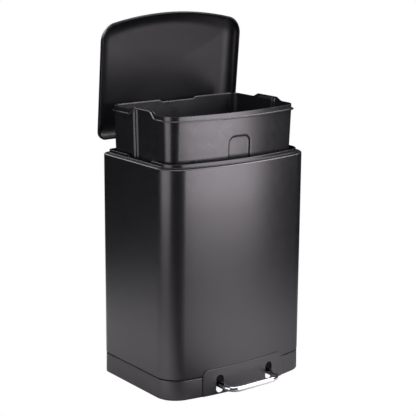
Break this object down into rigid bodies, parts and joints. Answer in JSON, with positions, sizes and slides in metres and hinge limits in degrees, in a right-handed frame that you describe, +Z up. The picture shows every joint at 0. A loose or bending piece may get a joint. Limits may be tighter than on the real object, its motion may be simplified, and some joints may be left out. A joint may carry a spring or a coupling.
{
  "type": "pedal bin",
  "caption": "Step-on pedal bin with a bowed front, a hinged dished lid, a lift-out inner bucket with side ears, a bent round pedal bar and a push rod linkage.",
  "frame": {"origin": "on the floor, at the middle of the footprint of the whole object with the pedal and the open lid included", "axes": "+Z up, +Y towards the hinge side, so the pedal faces -Y; +X to the right seen from the front"},
  "size_m": [0.38, 0.353, 0.7961],
  "materials": {
    "black_paint": "satin black powder coat on sheet steel",
    "collar_plastic": "moulded black plastic, smooth",
    "base_plastic": "moulded black plastic, fine satin",
    "bucket_plastic": "moulded dark grey plastic, satin",
    "liner_plastic": "moulded black plastic, smooth satin",
    "chrome": "bright polished chrome plate",
    "bright_steel": "plain bright steel",
    "zinc_steel": "zinc plated pressed steel",
    "dark_steel": "dark coated sheet steel",
    "rubber": "matte black rubber"
  },
  "bodies": {
    "body": {"outer_shell": "black_paint", "top_collar": "collar_plastic", "base_skirt": "base_plastic", "floor_plate": "dark_steel", "pedal_plate": "base_plastic", "pedal_axle": "bright_steel", "rod_guide_lower": "base_plastic", "rod_guide_upper": "base_plastic", "damper_cylinder": "collar_plastic", "damper_strap_lower": "base_plastic", "damper_strap_upper": "base_plastic", "hinge_housing": "collar_plastic", "hinge_pin": "bright_steel", "axle_bracket_left": "base_plastic", "axle_bracket_right": "base_plastic", "axle_clip_left": "bright_steel", "axle_clip_right": "bright_steel", "housing_screw_1": "bright_steel", "housing_screw_2": "bright_steel", "base_screw_1": "bright_steel", "base_screw_2": "bright_steel", "base_screw_3": "bright_steel", "base_screw_4": "bright_steel", "ledge_bumper_1": "rubber", "ledge_bumper_2": "rubber", "rubber_foot_1": "rubber", "rubber_foot_2": "rubber", "rubber_foot_3": "rubber", "rubber_foot_4": "rubber"},
    "lid": {"lid_shell": "black_paint", "lid_liner": "liner_plastic", "lid_bracket": "zinc_steel", "crank_pin": "bright_steel", "bracket_screw_1": "bright_steel", "bracket_screw_2": "bright_steel"},
    "pedal": {"pedal_bar": "chrome", "pedal_lever": "zinc_steel", "fork_pin": "bright_steel"},
    "push_rod": {"push_rod": "bright_steel", "damper_piston": "bright_steel", "damper_clamp": "base_plastic"},
    "bucket": {"inner_bucket": "bucket_plastic"}
  },
  "joints": [
    {"name": "lid_hinge", "type": "hinge", "parent": "body", "child": "lid", "pos_m": [0, 0.156, 0.5087], "axis": [-1, 0, 0], "range_deg": [-85, 0]},
    {"name": "pedal_pivot", "type": "hinge", "parent": "body", "child": "pedal", "pos_m": [0, -0.054, 0.024], "axis": [-1, 0, 0], "range_deg": [0, 10.28]},
    {"name": "rod_slide", "type": "slide", "parent": "body", "child": "push_rod", "axis": [0, 0, 1], "range_m": [-0.0339, 0]},
    {"name": "bucket_lift", "type": "slide", "parent": "body", "child": "bucket", "axis": [0, 0.0472, 0.9989], "range_m": [-0.09751, 0]}
  ],
  "couplings": [
    {"joint": "pedal_pivot", "follows": "lid_hinge", "ratio": -0.12035},
    {"joint": "rod_slide", "follows": "lid_hinge", "m_per_rad": 0.022784},
    {"joint": "bucket_lift", "follows": "lid_hinge", "m_per_rad": 0.06566}
  ]
}
